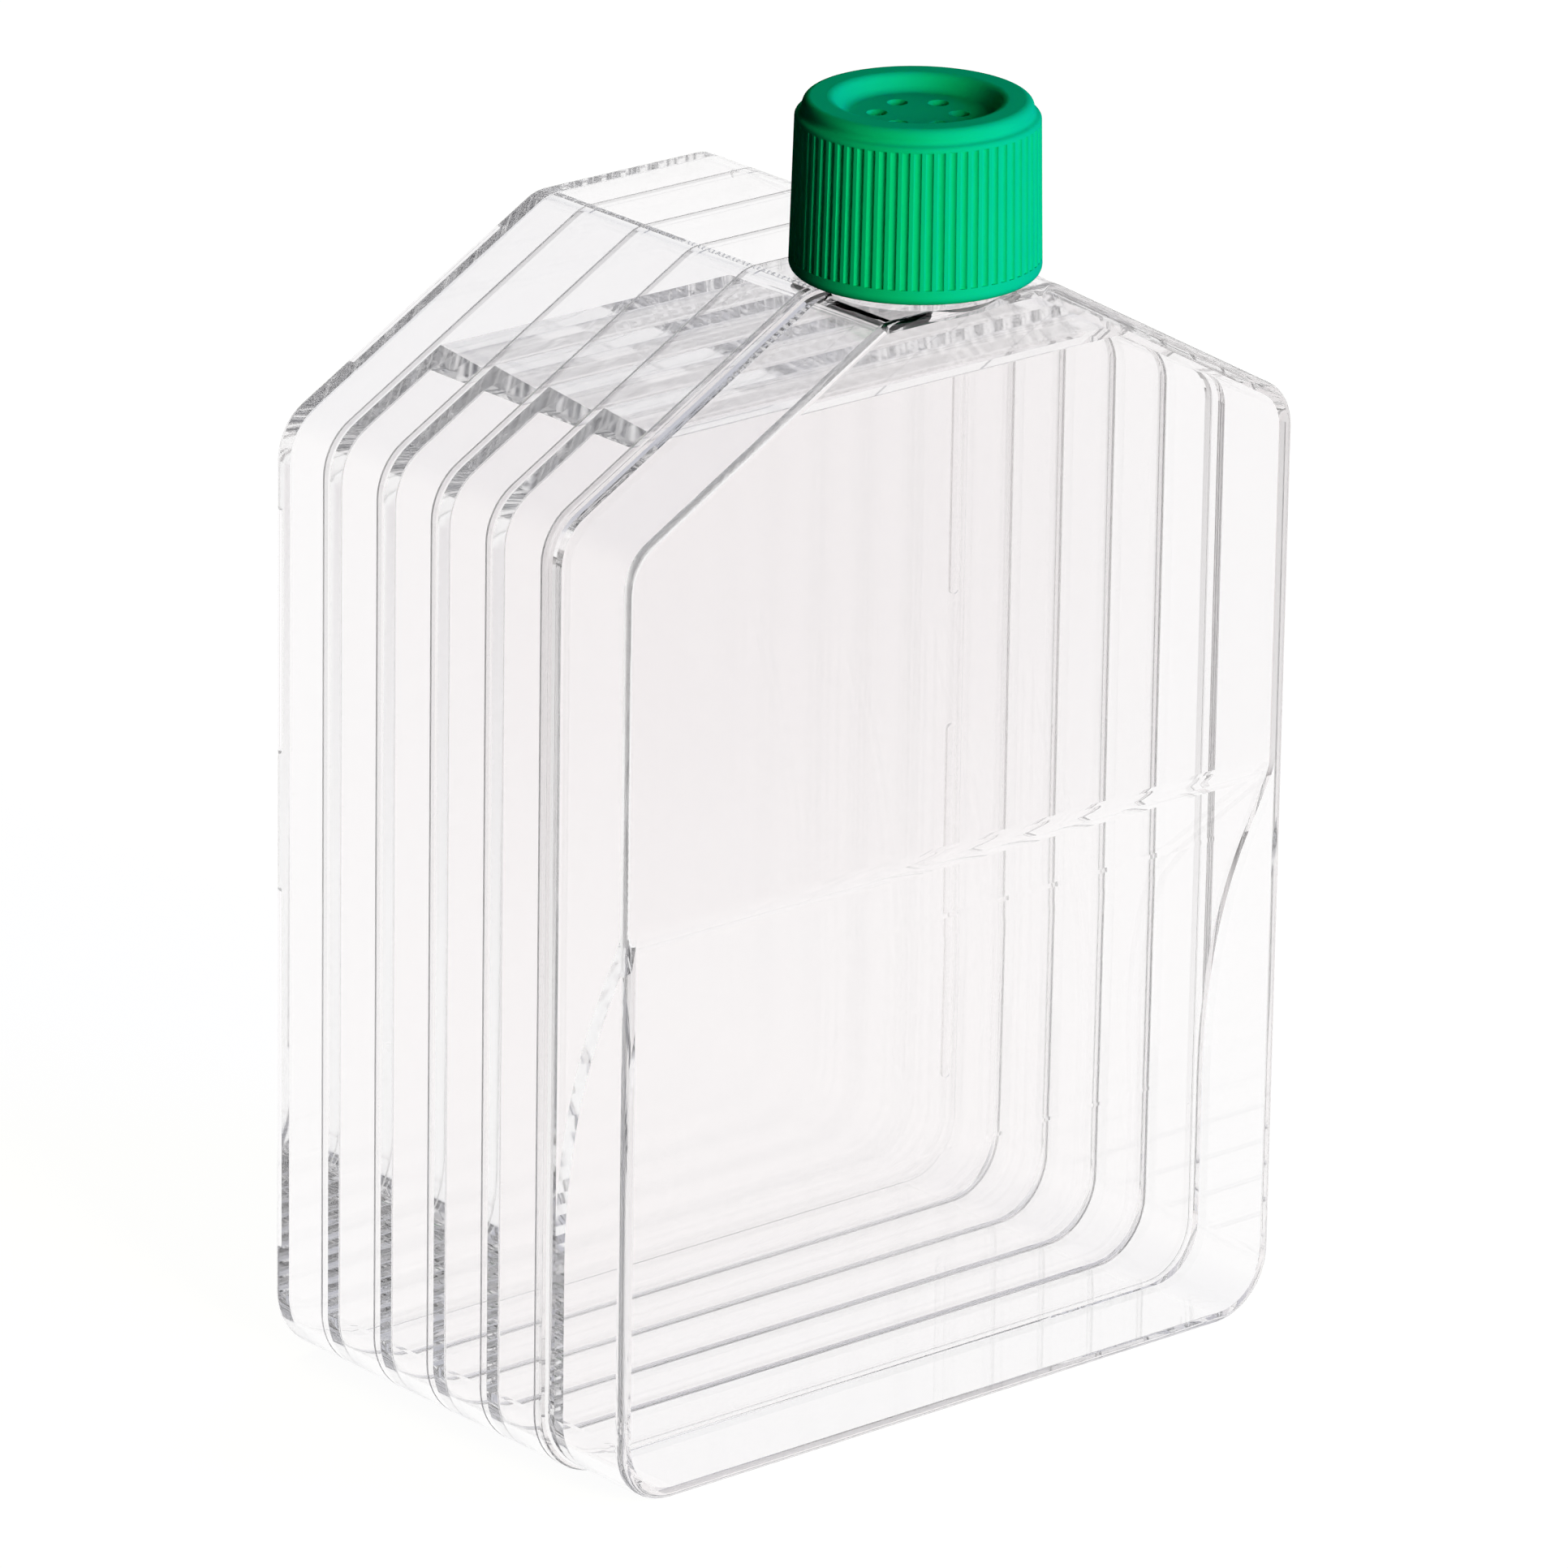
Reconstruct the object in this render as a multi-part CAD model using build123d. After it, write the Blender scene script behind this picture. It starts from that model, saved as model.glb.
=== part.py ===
from build123d import *
import math
import os

# Five-layer cell culture flask: back tray, four culture trays and a front cover, stacked
# and welded, with a vented screw cap on the cover's neck.
# Millimetres. +Z is up, the back face looks along +Y, and the cover with the neck is at -Y.
# The origin is the middle of the flat bottom that the trays stand on.

os.makedirs("parts", exist_ok=True)

# --- Flask outline, seen from the front ---
body_width = 135.0
side_height = 153.5
shoulder_rise = 28.0
shoulder_angle = 29.0
bottom_corner = 11.5
shoulder_corner = 9.5
top_corner = 7.0

# --- Walls and layers, counted in depth from the back face ---
wall = 2.0
plate = 2.4
tray_count = 4
back_tray_depth = 12.0
tray_pitch = 13.0
plate_setback = 0.4
seam_groove = 0.2
inner_fillet = 0.6

# --- Lip that ends each culture plate below the manifold ---
manifold_height = 17.6
lip_gap = 0.8
lip_draft = 0.6
lip_tip = 1.8

# --- Front cover ---
cover_depth = 19.4
cover_inset = 0.9
flange_depth = 1.6
flange_slope = 2.0
front_round = 1.2
bend_height = 92.4
bend_round = 8.0
recess_depth = 14.7
ramp_angle = 24.0
recess_sweep = 107.0

# --- Stacking ribs on the back face ---
rib_width = 1.8
rib_height = 0.6
rib_edge = 1.7
rib_spans = ((18.0, 78.0), (100.0, 140.0))
shoulder_rib_start = 16.0
shoulder_rib_end = 50.0

# --- Neck ---
neck_setback = 13.3
neck_height = 23.8
neck_bore = 12.2
neck_wall = 2.2
mouth_round = 0.6
thread_lead = 25.4 / 6
thread_depth = 1.5
thread_root = 2.2
thread_crest = 1.0
thread_turns = 2.0
thread_drop = 3.5

# --- Vent cap ---
fit_gap = 0.3
cap_lift_off = 1.2
cap_wall = 2.4
cap_flare = 0.6
cap_ceiling = 1.6
rim_rise = 2.5
ring_inset = 1.1
ring_height = 2.6
ring_round = 1.3
ledge_rise = 0.5
ledge_round = 0.7
rim_width = 4.6
dish_slope = 1.7
dish_round = 1.6
flute_count = 66
flute_radius = 0.65
flute_depth = 0.4
flute_top = 0.6
flute_bottom = 2.5
cap_edge_round = 1.4
vent_count = 6
vent_circle = 6.2
vent_radius = 1.6
vent_turn = 19.3

# --- Vent membrane and its seat in the cap ---
membrane_thickness = 0.4
membrane_margin = 1.3
seat_depth = 3.0
seat_lip = 0.9

# --- Places worked out from the sizes above ---
body_height = side_height + shoulder_rise
cover_seam = back_tray_depth + tray_count * tray_pitch
body_depth = cover_seam + cover_depth
lip_top = body_height - manifold_height
cover_top = body_height - cover_inset
neck_depth = body_depth - neck_setback
neck_radius = neck_bore + neck_wall
neck_top = body_height + neck_height
crest_radius = neck_radius + thread_depth
cap_bottom = body_height + cap_lift_off
cap_bore = crest_radius + fit_gap
cap_top_radius = cap_bore + cap_wall
cap_bottom_radius = cap_top_radius + cap_flare
ring_radius = cap_top_radius - ring_inset
dish_edge = ring_radius - rim_width
ceiling_bottom = neck_top + fit_gap
dish_floor = ceiling_bottom + cap_ceiling
cap_top = dish_floor + rim_rise
skirt_top = cap_top - ring_height
far = body_width + body_height


def at_depth(depth):
    """Sketch plane parallel to the back face. It looks forward, so extrusion goes to the front."""
    return Plane.XZ.offset(depth - body_depth / 2)


def outline(inset=0.0):
    """Flask outline, pulled in all round by inset, with its corners rounded."""
    angle = math.radians(shoulder_angle)
    half = body_width / 2 - inset
    low = inset
    high = body_height - inset
    shoulder = side_height - inset * (1 - math.sin(angle)) / math.cos(angle)
    top_half = half - (high - shoulder) / math.tan(angle)
    corners = [
        ((-half, low), bottom_corner),
        ((half, low), bottom_corner),
        ((half, shoulder), shoulder_corner),
        ((top_half, high), top_corner),
        ((-top_half, high), top_corner),
        ((-half, shoulder), shoulder_corner),
    ]
    face = make_face(Polyline(*[point for point, radius in corners], close=True))
    for point, radius in corners:
        face = fillet(face.vertices().sort_by_distance(Vector(*point))[0], radius - inset)
    return face


def prism(inset, start, end):
    """Solid with the flask outline, from one depth to another."""
    return extrude(at_depth(start) * outline(inset), end - start)


def slab(low, high, start, end):
    """Wide block between two heights and two depths."""
    block = Box(far, end - start, high - low)
    return Pos(0, body_depth / 2 - (start + end) / 2, (low + high) / 2) * block


def across(points):
    """Full-width solid from a closed outline given as (depth, height) points."""
    outline_points = [(body_depth / 2 - depth, height) for depth, height in points]
    return extrude(Plane.YZ * make_face(Polyline(*outline_points, close=True)), far / 2, both=True)


def edges_at(solid, depth):
    """Edges that lie in the plane at one depth."""
    place = body_depth / 2 - depth
    return solid.edges().filter_by_position(Axis.Y, place - 0.001, place + 0.001)


def grooved_block(start, end, both_ends=True):
    """Outer block of one layer, chamfered where it meets the next so that a fine groove marks the seam."""
    block = prism(0, start, end)
    edges = list(edges_at(block, end))
    if both_ends:
        edges += list(edges_at(block, start))
    return chamfer(edges, seam_groove)


def pill_rib(length):
    """Rounded bar that stands off the back face."""
    return extrude(SlotOverall(length, rib_width), rib_height)


def stacking_ribs():
    """Ribs along the long sides and the shoulders of the back face."""
    angle = math.radians(shoulder_angle)
    back = Plane.XZ.offset(-body_depth / 2)
    back_out = Plane(origin=back.origin, x_dir=(1, 0, 0), z_dir=(0, 1, 0))
    reach = rib_edge + rib_width / 2
    ribs = []
    for side in (-1, 1):
        x = side * (body_width / 2 - reach)
        for low, high in rib_spans:
            place = back_out * Pos(x, -(low + high) / 2) * Rot(0, 0, 90)
            ribs.append(place * pill_rib(high - low))
        middle = (shoulder_rib_start + shoulder_rib_end) / 2
        shoulder_x = body_width / 2 - middle * math.cos(angle) - reach * math.sin(angle)
        shoulder_z = side_height + middle * math.sin(angle) - reach * math.cos(angle)
        place = back_out * Pos(side * shoulder_x, -shoulder_z) * Rot(0, 0, side * shoulder_angle)
        ribs.append(place * pill_rib(shoulder_rib_end - shoulder_rib_start))
    return ribs


def back_tray():
    """Rear layer: the back face of the flask with its walls."""
    tray = fillet(edges_at(grooved_block(0, back_tray_depth, both_ends=False), 0), front_round)
    tray -= prism(wall, plate, back_tray_depth)
    tray = fillet(edges_at(tray, plate), inner_fillet)
    for rib in stacking_ribs():
        tray += rib
    return tray


def culture_tray(index):
    """One layer: a ring of wall, a floor plate and the lip that holds the medium back from the manifold."""
    start = back_tray_depth + index * tray_pitch
    end = start + tray_pitch
    floor_back = start + plate_setback
    floor_front = floor_back + plate
    lip_end = end - lip_gap
    ring = grooved_block(start, end) - prism(wall, start, end)
    lip_tip_top = lip_top - lip_draft
    profile = [
        (floor_back, 0),
        (floor_front, 0),
        (floor_front, lip_top - plate),
        (lip_end, lip_tip_top - lip_tip),
        (lip_end, lip_tip_top),
        (floor_back, lip_top),
    ]
    tray = ring + (across(profile) & prism(wall, start, end))
    return fillet(edges_at(tray, floor_front), inner_fillet)


def front_curve(setback):
    """Cover front wall from its bend down to the bottom, as a curve set back from the outer surface.

    It leaves the front face at the bend, runs down a ramp and sweeps into the recessed plane.
    """
    angle = math.radians(ramp_angle)
    face = body_depth - setback
    recess = body_depth - recess_depth - setback
    radius = recess_sweep + setback
    bend = (face, bend_height + setback * math.tan(angle / 2))
    ramp_length = (recess_depth - recess_sweep * (1 - math.cos(angle))) / math.sin(angle)
    sweep_start_height = bend_height - ramp_length * math.cos(angle)
    centre = (recess + radius, sweep_start_height - recess_sweep * math.sin(angle))

    def on_arc(turn):
        return (centre[0] - radius * math.cos(turn), centre[1] + radius * math.sin(turn))

    ramp = Line(to_yz(bend), to_yz(on_arc(angle)))
    sweep_arc = ThreePointArc(to_yz(on_arc(angle)), to_yz(on_arc(angle / 2)), to_yz(on_arc(0)))
    flat = Line(to_yz(on_arc(0)), to_yz((recess, -far)))
    return [ramp, sweep_arc, flat]


def to_yz(point):
    """Sketch point for a (depth, height) pair."""
    return (body_depth / 2 - point[0], point[1])


def behind_front_wall():
    """Everything behind the inner surface of the cover's front wall."""
    curve = front_curve(plate)
    face = body_depth - plate
    border = Polyline(
        curve[2] @ 1,
        to_yz((-far, -far)),
        to_yz((-far, far)),
        to_yz((face, far)),
        curve[0] @ 0,
    )
    space = extrude(Plane.YZ * make_face(Curve() + curve + border), far / 2, both=True)
    return fillet(bend_edge(space), bend_round - plate)


def before_recess():
    """The space in front of the cover's ramp and recessed plate."""
    curve = front_curve(0)
    border = Polyline(
        curve[2] @ 1,
        to_yz((body_depth + far, -far)),
        to_yz((body_depth + far, bend_height)),
        curve[0] @ 0,
    )
    return extrude(Plane.YZ * make_face(Curve() + curve + border), far / 2, both=True)


def thread_ridge(root, crest, start_height, phase):
    """Helical ridge with a tapered section, from its root radius to its crest radius."""
    height = thread_turns * thread_lead
    helix = Helix(thread_lead, height, root)
    section = Polyline(
        (root, -thread_root / 2),
        (crest, -thread_crest / 2),
        (crest, thread_crest / 2),
        (root, thread_root / 2),
        close=True,
    )
    ridge = sweep(Plane.XZ * make_face(section), path=helix, is_frenet=True)
    return Pos(0, body_depth / 2 - neck_depth, start_height) * Rot(0, 0, phase) * ridge


def neck_cylinder(radius, low, high):
    """Cylinder on the neck's axis between two heights."""
    place = Pos(0, body_depth / 2 - neck_depth, (low + high) / 2)
    return place * Cylinder(radius, high - low)


def neck_cone(low_radius, high_radius, low, high):
    """Cone on the neck's axis between two heights."""
    place = Pos(0, body_depth / 2 - neck_depth, (low + high) / 2)
    return place * Cone(low_radius, high_radius, high - low)


def neck():
    """Threaded neck, blended into the cover where it stands out past the front face."""
    foot = cover_top - wall
    overhang = max(neck_radius - neck_setback, 0.0)
    tube = neck_cylinder(neck_radius, cover_top, neck_top)
    tube = fillet(tube.edges().sort_by(Axis.Z)[-1], mouth_round)
    if overhang > 0:
        tube += neck_cone(neck_setback, neck_radius, cover_top - overhang, cover_top)
    start = neck_top - thread_drop - thread_turns * thread_lead
    tube += thread_ridge(neck_radius - fit_gap, crest_radius, start, 0)
    tube -= slab(foot - far, body_height, cover_seam - far, cover_seam)
    return tube


def bend_edge(block):
    """The long edge where the front wall turns into the ramp, outside or inside."""
    middle = Vector(0, -body_depth / 2, bend_height)
    return block.edges().filter_by(Axis.X).sort_by_distance(middle)[0]


def front_cover():
    """Front shell: weld flange, walls, front plate with its recess, rim and neck."""
    slope_start = cover_seam + flange_depth
    slope_end = slope_start + flange_slope
    block = prism(cover_inset, slope_end, body_depth)
    block = fillet(edges_at(block, body_depth), front_round)
    slope = loft([at_depth(slope_start) * outline(), at_depth(slope_end) * outline(cover_inset)], ruled=True)
    block += slope
    block += grooved_end(cover_seam, slope_start)
    inner = cover_inset + wall
    block -= before_recess() & prism(inner, cover_seam, body_depth + far)
    block = fillet(bend_edge(block), bend_round)
    block += neck()
    block -= behind_front_wall() & prism(inner, cover_seam, body_depth)
    block -= neck_cylinder(neck_bore, cover_top - wall, neck_top)
    return block


def grooved_end(start, end):
    """Weld flange, chamfered at the seam."""
    flange = prism(0, start, end)
    return chamfer(edges_at(flange, start), seam_groove)


def last_tray_with_mouth(tray):
    """The tray behind the cover, opened under the part of the neck that stands on it."""
    return tray - neck_cylinder(neck_bore, body_height - 2 * wall, neck_top)


def cap_profile():
    """Half section of the cap's outside, as (radius, height) points."""
    return [
        (0, cap_bottom),
        (cap_bottom_radius, cap_bottom),
        (cap_top_radius, skirt_top),
        (ring_radius, skirt_top + ledge_rise),
        (ring_radius, cap_top),
        (dish_edge, cap_top),
        (dish_edge - dish_slope, dish_floor),
        (0, dish_floor),
    ]


def turned(points):
    """Solid of revolution about the neck's axis, from (radius, height) points."""
    section = Plane.XZ * make_face(Polyline(*points, close=True))
    return Pos(0, body_depth / 2 - neck_depth, 0) * revolve(section, Axis.Z, 360)


def grip_flutes():
    """Vertical grooves round the skirt, leaning with its flare."""
    low = cap_bottom + flute_bottom
    high = skirt_top - flute_top
    length = high - low
    lean = math.degrees(math.atan2(cap_flare, skirt_top - cap_bottom))
    middle = (low + high) / 2
    share = (skirt_top - middle) / (skirt_top - cap_bottom)
    reach = cap_top_radius + cap_flare * share + flute_radius - flute_depth
    flute = Pos(reach, 0, middle) * Rot(0, -lean, 0) * Cylinder(flute_radius, length)
    axis = Pos(0, body_depth / 2 - neck_depth, 0)
    return [axis * Rot(0, 0, 360 * i / flute_count) * flute for i in range(flute_count)]


def round_cap(cap):
    """Rounded rim, dish, ledge and bottom edge of the cap."""
    rounds = [
        (cap_bottom_radius, cap_bottom, cap_edge_round),
        (cap_top_radius, skirt_top, ledge_round),
        (ring_radius, skirt_top + ledge_rise, ledge_round),
        (ring_radius, cap_top, ring_round),
        (dish_edge, cap_top, dish_round),
        (dish_edge - dish_slope, dish_floor, dish_round),
    ]
    for radius, height, size in rounds:
        circles = cap.edges().filter_by(GeomType.CIRCLE)
        near = circles.sort_by(lambda e: abs(e.radius - radius) + abs(e.center().Z - height))
        cap = fillet(near[0], size)
    return cap


def vent_cap():
    """Screw cap with a dished, vented top, an inside thread and a seat for the membrane."""
    cap = round_cap(turned(cap_profile()))
    cap -= neck_cylinder(cap_bore, cap_bottom, ceiling_bottom)
    for flute in grip_flutes():
        cap -= flute
    plug_radius = neck_bore - fit_gap
    seat_low = ceiling_bottom - seat_depth
    lip_high = ceiling_bottom - membrane_thickness - 2 * fit_gap
    pocket_radius = membrane_radius() + fit_gap
    plug = neck_cylinder(plug_radius, seat_low, ceiling_bottom)
    plug -= neck_cylinder(pocket_radius - seat_lip, seat_low, ceiling_bottom)
    plug -= neck_cylinder(pocket_radius, lip_high, ceiling_bottom)
    cap += plug
    start = neck_top - thread_drop - thread_turns * thread_lead
    cap += thread_ridge(cap_bore + fit_gap, neck_radius + fit_gap, start, 180)
    for i in range(vent_count):
        turn = math.radians(vent_turn + 360 * i / vent_count)
        vent = Pos(vent_circle * math.cos(turn), vent_circle * math.sin(turn), 0)
        cap -= vent * neck_cylinder(vent_radius, ceiling_bottom, dish_floor)
    return cap


def membrane_radius():
    """The membrane lies inside the plug, clear of its wall."""
    return neck_bore - fit_gap - membrane_margin


def vent_membrane():
    """Round filter sheet under the vents."""
    top = ceiling_bottom - fit_gap
    return neck_cylinder(membrane_radius(), top - membrane_thickness, top)


trays = [culture_tray(index) for index in range(tray_count)]
trays[-1] = last_tray_with_mouth(trays[-1])

export_step(back_tray(), "parts/back_tray.step")
for number, tray in enumerate(trays, start=1):
    export_step(tray, f"parts/culture_tray_{number}.step")
export_step(front_cover(), "parts/front_cover.step")
export_step(vent_cap(), "parts/vent_cap.step")
export_step(vent_membrane(), "parts/vent_membrane.step")
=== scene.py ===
import bpy
import math
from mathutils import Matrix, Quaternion, Vector


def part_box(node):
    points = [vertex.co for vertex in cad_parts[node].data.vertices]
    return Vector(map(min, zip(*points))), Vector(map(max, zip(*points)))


FLASK_NODES = [
    "back_tray",
    "culture_tray_1",
    "culture_tray_2",
    "culture_tray_3",
    "culture_tray_4",
    "front_cover",
]

# Camera, from in front and to the left of the flask.
CAMERA_AZIMUTH = -40.72
CAMERA_ELEVATION = 19.87
CAMERA_ROLL = 0.88
CAMERA_DISTANCE = 1.947
CAMERA_AIM = (-0.0017, -0.0019, 0.0930)
CAMERA_LENS = 289.3
CAMERA_SENSOR = 36.0
CAMERA_CLIP = (0.05, 50.0)

# Lamps: name, watts, degrees to the right of the camera, degrees up, colour.
LAMPS = (
    ("key", 35.0, 35, 16, (1.0, 1.0, 0.54)),
    ("side", 22.0, 80, 16, (0.12, 0.14, 1.0)),
    ("back", 13.0, 161, 22, (1.0, 1.0, 0.45)),
)
LAMP_SIZE = 0.8
LAMP_DISTANCE = 1.9

# Room: white below, greyer from the height of the wall's top up to the ceiling.
# Heights are sines of the elevation.
WHITE = (1, 1, 1, 1)
WALL = (0.97, 0.97, 0.97, 1)
WALL_TOP = 0.3
CEILING = (0.55, 0.56, 0.62, 1)
CEILING_START = 0.75
ROOM_FILL = (0.008, 0.008, 0.008, 1)

# Table top: in mirrored rays its white glow turns to a painted grey shade towards the front,
# between these two depths.
FLOOR_SIZE = 12
FLOOR_DROP = 0.0002
FLOOR_GLOW = 0.97
FLOOR_COLOUR = (0.15, 0.15, 0.15, 1)
FRONT_PAINTED_SHADE = (0.86, 0.84, 0.85, 1)
FADE_START = -0.08
FADE_END = -0.25

# Colours, linear
POLYSTYRENE = (0.989, 0.983, 0.983, 1)
POLYSTYRENE_LIGHT = (0.992, 0.987, 0.987, 1)
POLYSTYRENE_DEPTH_TINT = (0.60, 0.59, 0.59, 1)
POLYSTYRENE_ABSORPTION = 1.2
CAP_GREEN = (0.001, 0.56, 0.30, 1)
CAP_GREEN_LIGHT = (0.002, 0.58, 0.31, 1)
FILTER_SHADE = (0.74, 0.80, 0.77, 1)
FILTER_WHITE = (0.86, 0.90, 0.88, 1)

# Surfaces: scales are in waves a metre, depths in metres, and stops are the values of a noise at
# which two tints are pure.
POLYSTYRENE_IOR = 1.59
TINT_STOPS = (0.3, 0.7)
PORE_STOPS = (0.3, 0.6)
CLOUD_SCALE = 14.0
WAVE_SCALE = 45.0
WAVE_STRENGTH = 0.012
WAVE_DEPTH = 0.0004
CLEAR_ROUGHNESS = (0.0, 0.02)
BEAD_SCALE = 900.0
BEAD_ROUGHNESS = (0.4, 0.6)
CAP_CLOUD_SCALE = 90.0
CAP_GRAIN_SCALE = 2400.0
CAP_GRAIN_STRENGTH = 0.08
CAP_IOR = 1.5
CAP_ROUGHNESS = (0.27, 0.33)
PORE_SCALE = 5000.0
PORE_STRENGTH = 0.4
FILTER_ROUGHNESS = 0.85
GRAIN_DEPTH = 0.0001

# Faces this near to a seam's plane are fused, and those this near beside it are the groove.
SEAM_TOLERANCE = 0.00002
SEAM_BEAD = 0.00025
GROOVE_SLANT = 0.1
FUSED_SLOT = 1
GROOVE_SLOT = 2

# Light paths: a ray in a culture plate is mirrored between its two faces dozens of times. A high
# noise threshold lets even areas settle early, which keeps the render short.
PATH_BOUNCES = 144
MIRROR_BOUNCES = 128
SEAM_BOUNCES = 64
NOISE_THRESHOLD = 1.0

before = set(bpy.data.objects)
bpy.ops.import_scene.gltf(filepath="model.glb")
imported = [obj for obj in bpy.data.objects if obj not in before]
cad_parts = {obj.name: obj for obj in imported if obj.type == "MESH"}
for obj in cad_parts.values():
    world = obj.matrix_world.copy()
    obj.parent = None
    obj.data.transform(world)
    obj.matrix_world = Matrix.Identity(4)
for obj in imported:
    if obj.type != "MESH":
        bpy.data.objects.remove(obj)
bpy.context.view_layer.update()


class Nodes:
    """Short way to write a node tree."""

    def __init__(self, tree):
        self.tree = tree

    def add(self, kind, inputs=None, **settings):
        node = self.tree.nodes.new(kind)
        for name, value in settings.items():
            setattr(node, name, value)
        for name, value in (inputs or {}).items():
            if isinstance(value, bpy.types.NodeSocket):
                self.tree.links.new(value, node.inputs[name])
            else:
                node.inputs[name].default_value = value
        return node

    def ramp(self, fac, stops):
        node = self.add("ShaderNodeValToRGB", {"Fac": fac})
        elements = node.color_ramp.elements
        while len(elements) < len(stops):
            elements.new(0.5)
        for element, (place, color) in zip(elements, stops):
            element.position = place
            element.color = color
        return node.outputs["Color"]


def new_material(name):
    """A material with nothing in it but its output."""
    material = bpy.data.materials.new(name)
    material.use_nodes = True
    material.node_tree.nodes.clear()
    nodes = Nodes(material.node_tree)
    output = nodes.add("ShaderNodeOutputMaterial")
    return material, nodes, output


def object_noise(nodes, scale, detail):
    place = nodes.add("ShaderNodeTexCoord").outputs["Object"]
    noise = nodes.add("ShaderNodeTexNoise", {"Vector": place, "Scale": scale, "Detail": detail})
    return noise.outputs["Fac"]


def tinted(nodes, noise, stops, first, second):
    return nodes.ramp(noise, [(stops[0], first), (stops[1], second)])


def spread(nodes, value, ends):
    """Spreads a value of 0 to 1 between two ends."""
    node = nodes.add("ShaderNodeMapRange", {"Value": value, "To Min": ends[0], "To Max": ends[1]})
    return node.outputs["Result"]


def relief(nodes, height, strength, depth):
    node = nodes.add("ShaderNodeBump", {"Height": height, "Strength": strength, "Distance": depth})
    return node.outputs["Normal"]


def clear_polystyrene():
    """Clear moulded plastic, with slightly wavy walls and faint differences in tint and polish."""
    material, nodes, output = new_material("clear_polystyrene")
    cloud = object_noise(nodes, CLOUD_SCALE, detail=0.0)
    wave = object_noise(nodes, WAVE_SCALE, detail=0.0)
    shader = nodes.add(
        "ShaderNodeBsdfPrincipled",
        {
            "Base Color": tinted(nodes, cloud, TINT_STOPS, POLYSTYRENE, POLYSTYRENE_LIGHT),
            "Roughness": spread(nodes, cloud, CLEAR_ROUGHNESS),
            "Normal": relief(nodes, wave, WAVE_STRENGTH, WAVE_DEPTH),
            "IOR": POLYSTYRENE_IOR,
            "Transmission Weight": 1.0,
        },
    )
    nodes.tree.links.new(shader.outputs["BSDF"], output.inputs["Surface"])
    add_absorption(nodes, output)
    return material


def add_absorption(nodes, output):
    """The plastic darkens a little along a path of many centimetres, as in the edge of a plate."""
    inside = nodes.add(
        "ShaderNodeVolumeAbsorption",
        {"Color": POLYSTYRENE_DEPTH_TINT, "Density": POLYSTYRENE_ABSORPTION},
    )
    nodes.tree.links.new(inside.outputs["Volume"], output.inputs["Volume"])


def cap_plastic():
    """Green moulded polyethylene with a satin skin."""
    material, nodes, output = new_material("cap_green")
    cloud = object_noise(nodes, CAP_CLOUD_SCALE, detail=2.0)
    grain = object_noise(nodes, CAP_GRAIN_SCALE, detail=3.0)
    shader = nodes.add(
        "ShaderNodeBsdfPrincipled",
        {
            "Base Color": tinted(nodes, cloud, TINT_STOPS, CAP_GREEN, CAP_GREEN_LIGHT),
            "Roughness": spread(nodes, cloud, CAP_ROUGHNESS),
            "Normal": relief(nodes, grain, CAP_GRAIN_STRENGTH, GRAIN_DEPTH),
            "IOR": CAP_IOR,
            "Specular IOR Level": 0.0,
        },
    )
    nodes.tree.links.new(shader.outputs["BSDF"], output.inputs["Surface"])
    return material


def filter_sheet():
    """White porous filter sheet."""
    material, nodes, output = new_material("vent_filter")
    pores = object_noise(nodes, PORE_SCALE, detail=4.0)
    shader = nodes.add(
        "ShaderNodeBsdfPrincipled",
        {
            "Base Color": tinted(nodes, pores, PORE_STOPS, FILTER_SHADE, FILTER_WHITE),
            "Roughness": FILTER_ROUGHNESS,
            "Normal": relief(nodes, pores, PORE_STRENGTH, GRAIN_DEPTH),
        },
    )
    nodes.tree.links.new(shader.outputs["BSDF"], output.inputs["Surface"])
    return material


def dress(node, material):
    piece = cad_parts[node]
    piece.data.materials.clear()
    piece.data.materials.append(material)


def weld_fill():
    """Lets light straight through where two clear pieces are fused, so that no air gap shows
    inside the joint.
    """
    material, nodes, output = new_material("weld")
    shader = nodes.add("ShaderNodeBsdfPrincipled", {"Base Color": POLYSTYRENE, "Alpha": 0.0})
    nodes.tree.links.new(shader.outputs["BSDF"], output.inputs["Surface"])
    add_absorption(nodes, output)
    return material


def weld_bead():
    """Cloudy skin of the welded seams, clear plastic that has lost its polish."""
    material, nodes, output = new_material("weld_bead")
    grain = object_noise(nodes, BEAD_SCALE, detail=1.0)
    shader = nodes.add(
        "ShaderNodeBsdfPrincipled",
        {
            "Base Color": POLYSTYRENE_LIGHT,
            "Roughness": spread(nodes, grain, BEAD_ROUGHNESS),
            "IOR": POLYSTYRENE_IOR,
            "Transmission Weight": 1.0,
        },
    )
    nodes.tree.links.new(shader.outputs["BSDF"], output.inputs["Surface"])
    add_absorption(nodes, output)
    return material


def mark_seams(fused, bead):
    """Gives the fused faces of neighbouring pieces, flat in the planes of the seams, and the
    grooves beside them materials of their own.
    """
    trays = [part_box(name) for name in FLASK_NODES[1:-1]]
    seams = {low.y for low, high in trays} | {high.y for low, high in trays}
    for name in FLASK_NODES:
        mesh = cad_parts[name].data
        mesh.materials.append(fused)
        mesh.materials.append(bead)
        for face in mesh.polygons:
            depths = [mesh.vertices[i].co.y for i in face.vertices]
            off = min(max(abs(depth - seam) for depth in depths) for seam in seams)
            if off < SEAM_TOLERANCE:
                face.material_index = FUSED_SLOT
            elif off < SEAM_BEAD and abs(face.normal.y) > GROOVE_SLANT:
                face.material_index = GROOVE_SLOT


def either(nodes, one, other):
    """1 where at least one of two sockets is 1."""
    node = nodes.add("ShaderNodeMath", operation="MAXIMUM")
    nodes.tree.links.new(one, node.inputs[0])
    nodes.tree.links.new(other, node.inputs[1])
    return node.outputs[0]


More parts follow.
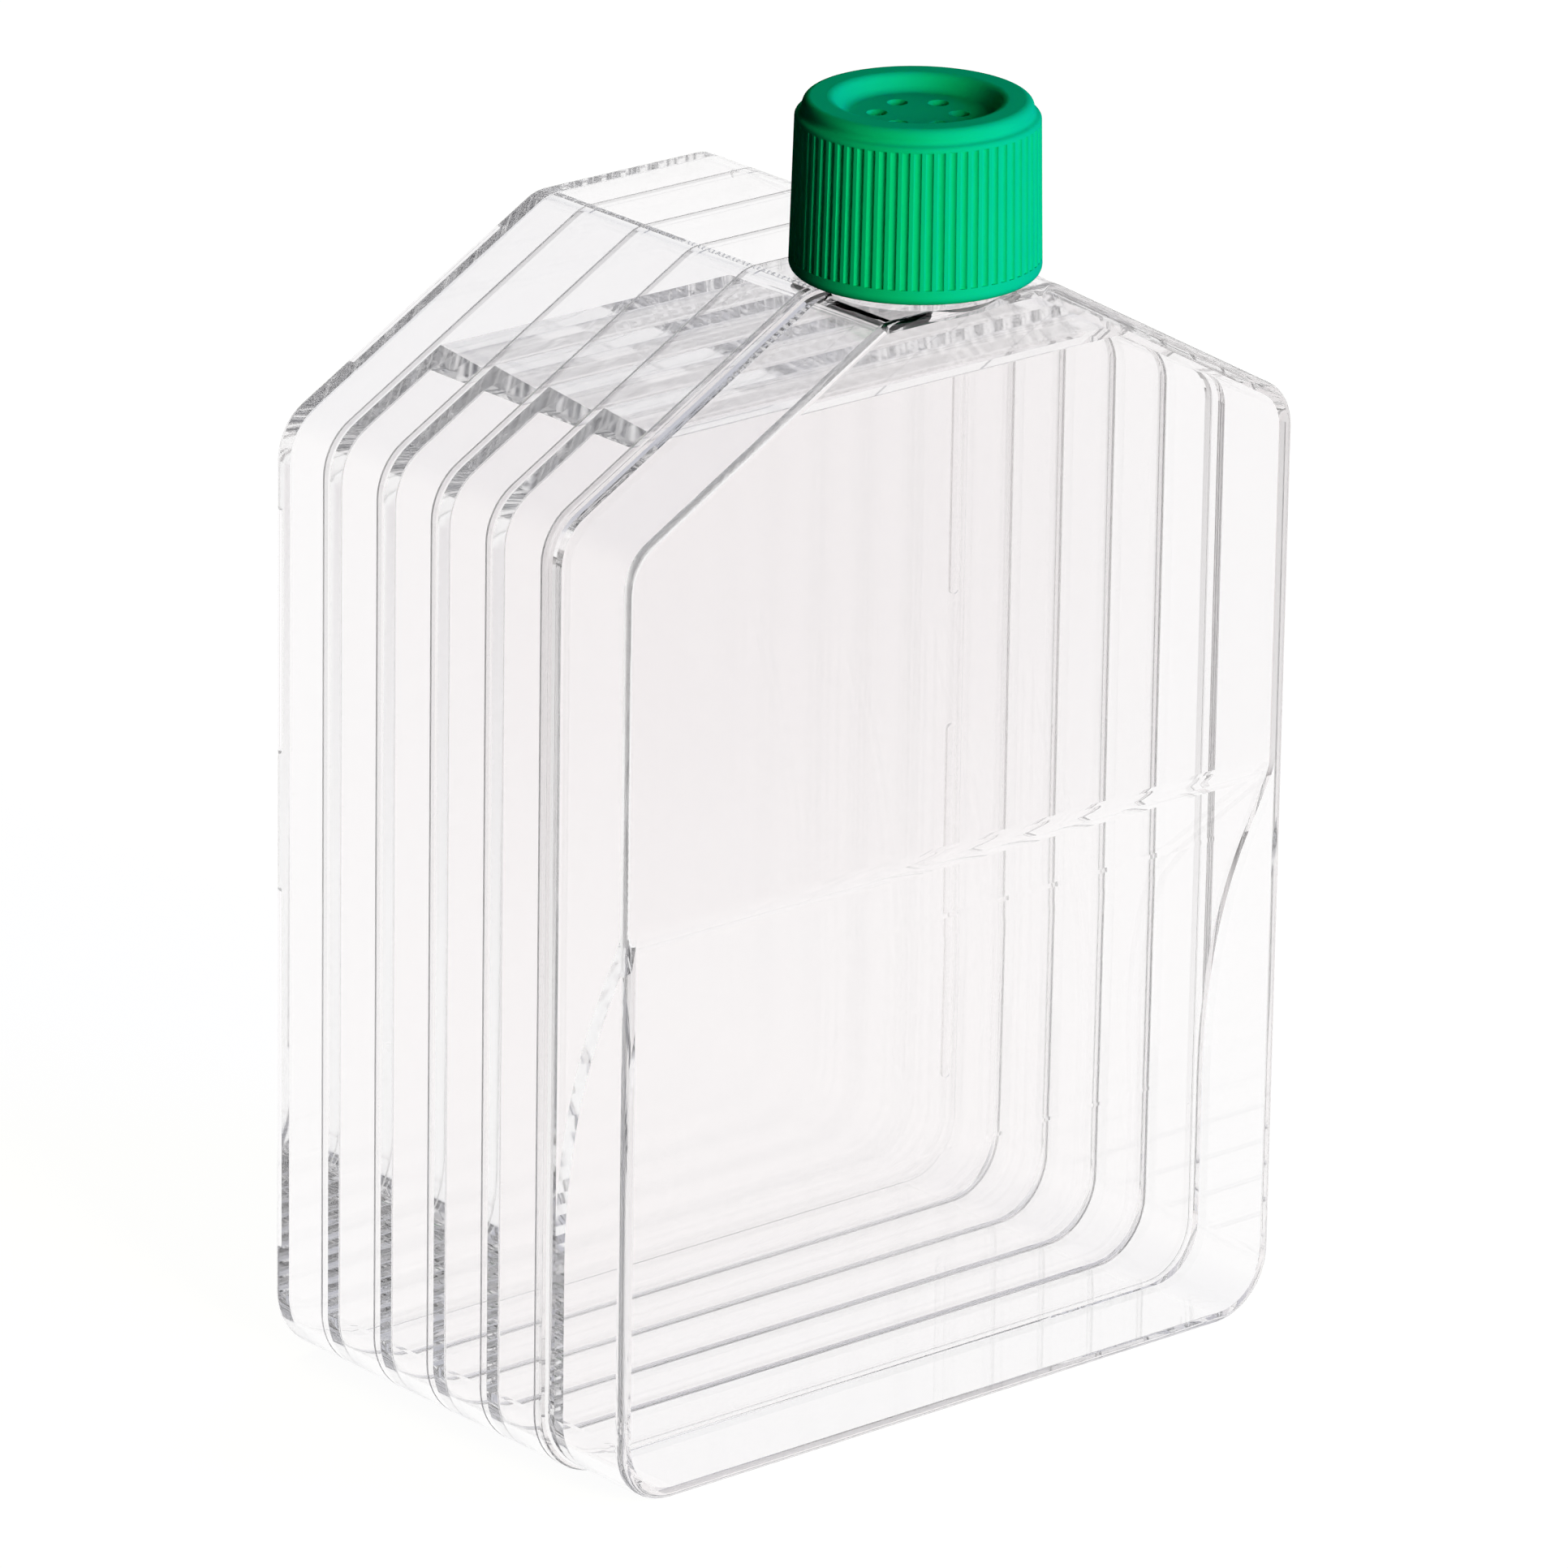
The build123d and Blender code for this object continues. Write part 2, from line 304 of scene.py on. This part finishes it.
def mix_shaders(nodes, share, under, over):
    node = nodes.add("ShaderNodeMixShader", {0: share})
    nodes.tree.links.new(under, node.inputs[1])
    nodes.tree.links.new(over, node.inputs[2])
    return node.outputs[0]


def make_world():
    """White surroundings up to a height and a darker ceiling above them, as in a light tent with an
    open top. Matt surfaces get only a faint fill from them.
    """
    world = bpy.data.worlds.new("studio")
    world.use_nodes = True
    world.node_tree.nodes.clear()
    nodes = Nodes(world.node_tree)
    output = nodes.add("ShaderNodeOutputWorld")
    direction = nodes.add("ShaderNodeTexCoord").outputs["Generated"]
    height = nodes.add("ShaderNodeSeparateXYZ", {"Vector": direction}).outputs["Z"]
    shade = nodes.ramp(height, [(0.0, WHITE), (WALL_TOP, WALL), (CEILING_START, CEILING)])
    path = nodes.add("ShaderNodeLightPath").outputs
    mirrored = either(nodes, path["Is Glossy Ray"], path["Is Transmission Ray"])
    fill = nodes.add("ShaderNodeMix", data_type="RGBA")
    nodes.tree.links.new(either(nodes, path["Is Camera Ray"], mirrored), fill.inputs["Factor"])
    fill.inputs[6].default_value = ROOM_FILL
    nodes.tree.links.new(shade, fill.inputs[7])
    light = nodes.add("ShaderNodeBackground", {"Color": fill.outputs[2]})
    nodes.tree.links.new(light.outputs[0], output.inputs["Surface"])
    bpy.context.scene.world = world


def make_floor():
    """Wide white table top. It reads as white and keeps a trace of the flask's shadow. In mirrored
    rays it is a white glow with a painted grey shade towards the front.
    """
    bpy.ops.mesh.primitive_plane_add(size=FLOOR_SIZE)
    floor = bpy.context.object
    floor.name = "floor"
    floor.location.z = -FLOOR_DROP
    material, nodes, output = new_material("floor_white")
    path = nodes.add("ShaderNodeLightPath").outputs
    plain = nodes.add("ShaderNodeBsdfDiffuse", {"Color": FLOOR_COLOUR})
    glow = nodes.add("ShaderNodeEmission", {"Color": WHITE, "Strength": FLOOR_GLOW})
    lit = nodes.add("ShaderNodeAddShader")
    nodes.tree.links.new(plain.outputs[0], lit.inputs[0])
    nodes.tree.links.new(glow.outputs[0], lit.inputs[1])
    # Painted shade: seen in mirrors and through the flask, the table's glow turns grey towards the
    # front.
    place = nodes.add("ShaderNodeTexCoord").outputs["Object"]
    depth = nodes.add("ShaderNodeSeparateXYZ", {"Vector": place}).outputs["Y"]
    toward_front = nodes.add(
        "ShaderNodeMapRange", {"Value": depth, "From Min": FADE_START, "From Max": FADE_END}
    )
    painted_front_shade = nodes.ramp(toward_front.outputs["Result"], [(0.0, WHITE), (1.0, FRONT_PAINTED_SHADE)])
    white = nodes.add("ShaderNodeEmission", {"Color": painted_front_shade, "Strength": 1.0})
    mirrored = either(nodes, path["Is Glossy Ray"], path["Is Transmission Ray"])
    first = mix_shaders(nodes, path["Is Camera Ray"], plain.outputs[0], lit.outputs[0])
    second = mix_shaders(nodes, mirrored, first, white.outputs[0])
    nodes.tree.links.new(second, output.inputs["Surface"])
    floor.data.materials.append(material)


def make_lamp(name, power, turn, elevation, colour):
    """Square soft lamp that faces the flask, placed by its turn to the right of the camera.

    Clear walls neither show nor mirror it.
    """
    lamp = bpy.data.lights.new(name, "AREA")
    lamp.energy = power
    lamp.size = LAMP_SIZE
    lamp.color = colour
    holder = bpy.data.objects.new(name, lamp)
    bpy.context.scene.collection.objects.link(holder)
    toward = direction(CAMERA_AZIMUTH + turn, elevation)
    holder.location = Vector(CAMERA_AIM) + toward * LAMP_DISTANCE
    holder.rotation_mode = "QUATERNION"
    holder.rotation_quaternion = (-toward).to_track_quat("-Z", "Y")
    holder.visible_transmission = False
    holder.visible_glossy = False


def direction(azimuth, elevation):
    """Unit vector from the flask. Azimuth 0 points to the front, along -Y."""
    azimuth = math.radians(azimuth)
    elevation = math.radians(elevation)
    flat = math.cos(elevation)
    return Vector((math.sin(azimuth) * flat, -math.cos(azimuth) * flat, math.sin(elevation)))


def make_camera():
    back = direction(CAMERA_AZIMUTH, CAMERA_ELEVATION)
    camera = bpy.data.objects.new("camera", bpy.data.cameras.new("camera"))
    bpy.context.scene.collection.objects.link(camera)
    camera.data.lens = CAMERA_LENS
    camera.data.sensor_width = CAMERA_SENSOR
    camera.data.clip_start, camera.data.clip_end = CAMERA_CLIP
    camera.location = Vector(CAMERA_AIM) + back * CAMERA_DISTANCE
    camera.rotation_mode = "QUATERNION"
    roll = Quaternion((0, 0, 1), math.radians(CAMERA_ROLL))
    camera.rotation_quaternion = (-back).to_track_quat("-Z", "Y") @ roll
    bpy.context.scene.camera = camera


plastic = clear_polystyrene()
for name in FLASK_NODES:
    dress(name, plastic)
mark_seams(weld_fill(), weld_bead())
dress("vent_cap", cap_plastic())
dress("vent_membrane", filter_sheet())
make_world()
make_floor()
for lamp in LAMPS:
    make_lamp(*lamp)
make_camera()

scene = bpy.context.scene
scene.view_settings.view_transform = "Standard"
scene.cycles.max_bounces = PATH_BOUNCES
scene.cycles.transmission_bounces = MIRROR_BOUNCES
scene.cycles.glossy_bounces = MIRROR_BOUNCES
scene.cycles.transparent_max_bounces = SEAM_BOUNCES
# Light comes straight through the clear walls, so no glints are traced.
scene.cycles.caustics_reflective = False
scene.cycles.caustics_refractive = False
scene.cycles.adaptive_threshold = NOISE_THRESHOLD
